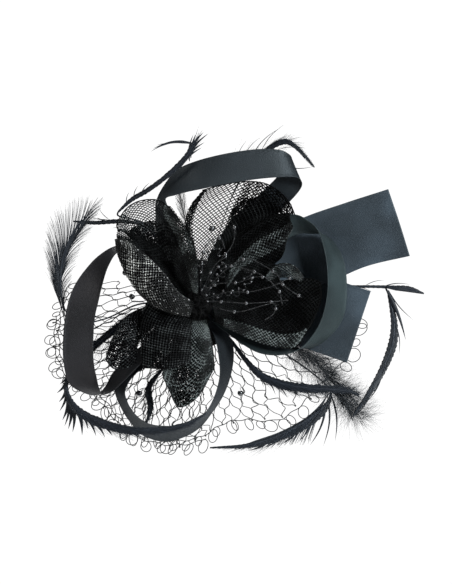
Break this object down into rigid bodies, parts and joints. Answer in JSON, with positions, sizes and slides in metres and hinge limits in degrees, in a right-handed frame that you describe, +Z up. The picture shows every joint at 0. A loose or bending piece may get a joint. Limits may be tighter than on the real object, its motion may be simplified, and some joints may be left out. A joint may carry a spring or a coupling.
{
  "type": "fascinator headpiece",
  "caption": "Black fascinator with satin ribbon loops, a sinamay flower, a birdcage veil and feathers, worn with a hair clip or pinned on.",
  "frame": {"origin": "centre of the backing felt's face on the head side", "axes": "+Y out of the back towards the head, so the flower faces -Y; +Z up in the picture; +X to the picture's right"},
  "size_m": [0.2544, 0.0645, 0.2164],
  "materials": {
    "felt": "dense black wool felt",
    "binding": "black floral binding tape over gathered wire",
    "steel": "nickel-plated steel",
    "spring_steel": "spring wire",
    "satin_black": "black satin ribbon",
    "satin_green": "black satin ribbon with a green-grey sheen",
    "satin_blue": "black satin ribbon with a blue-grey sheen",
    "sinamay": "open-weave black sinamay",
    "net": "black birdcage net",
    "feather": "black feather",
    "bead": "glossy black bead",
    "wire": "black coated wire"
  },
  "bodies": {
    "headpiece": {"base_disc": "felt", "backing_felt": "felt", "binding_post": "binding", "clip_arm": "steel", "clip_hinge_pin": "steel", "clip_spring": "spring_steel", "brooch_bar": "steel", "brooch_rivet": "steel", "loop_top": "satin_black", "loop_left": "satin_black", "loop_right": "satin_green", "loop_bottom": "satin_black", "tail_upper": "satin_blue", "tail_lower": "satin_blue", "petal_left_roll": "sinamay", "petal_upper_left": "sinamay", "petal_top": "sinamay", "petal_right_upper": "sinamay", "petal_right_lower": "sinamay", "petal_inner": "sinamay", "petal_bottom": "sinamay", "petal_bottom_point": "sinamay", "petal_lower_left": "sinamay", "veil_net": "net", "veil_bead_1": "bead", "veil_bead_2": "bead", "veil_bead_3": "bead", "veil_bead_4": "bead", "veil_bead_5": "bead", "feather_left_plume": "feather", "feather_left_fork": "feather", "feather_lower_left": "feather", "feather_inner": "feather", "feather_top_left": "feather", "feather_top_wisp": "feather", "feather_top_inner": "feather", "feather_right_quill": "feather", "feather_right_droop": "feather", "feather_low_right": "feather", "feather_bottom_sweep": "feather", "marabou_tuft": "feather", "stamen_1": "wire", "stamen_2": "wire", "stamen_3": "wire", "stamen_4": "wire", "stamen_5": "wire", "stamen_6": "wire", "stamen_7": "wire", "stamen_8": "wire"},
    "clip_jaw": {"clip_jaw": "steel"},
    "brooch_pin": {"brooch_pin": "steel"},
    "brooch_catch": {"brooch_catch": "steel"}
  },
  "joints": [
    {"name": "clip_hinge", "type": "hinge", "parent": "headpiece", "child": "clip_jaw", "pos_m": [0.01, 0.0045, 0.0065], "axis": [0, 0, -1], "range_deg": [0, 28], "stiffness_Nm_per_rad": 0.02, "springref_deg": -28.65, "deforming": ["clip_spring"]},
    {"name": "brooch_hinge", "type": "hinge", "parent": "headpiece", "child": "brooch_pin", "pos_m": [0.015, 0.0032, -0.01025], "axis": [0, 0, -1], "range_deg": [0, 95]},
    {"name": "catch_roll", "type": "hinge", "parent": "headpiece", "child": "brooch_catch", "pos_m": [-0.014, 0.0032, -0.01025], "axis": [1, 0, 0], "range_deg": [0, 110]}
  ]
}
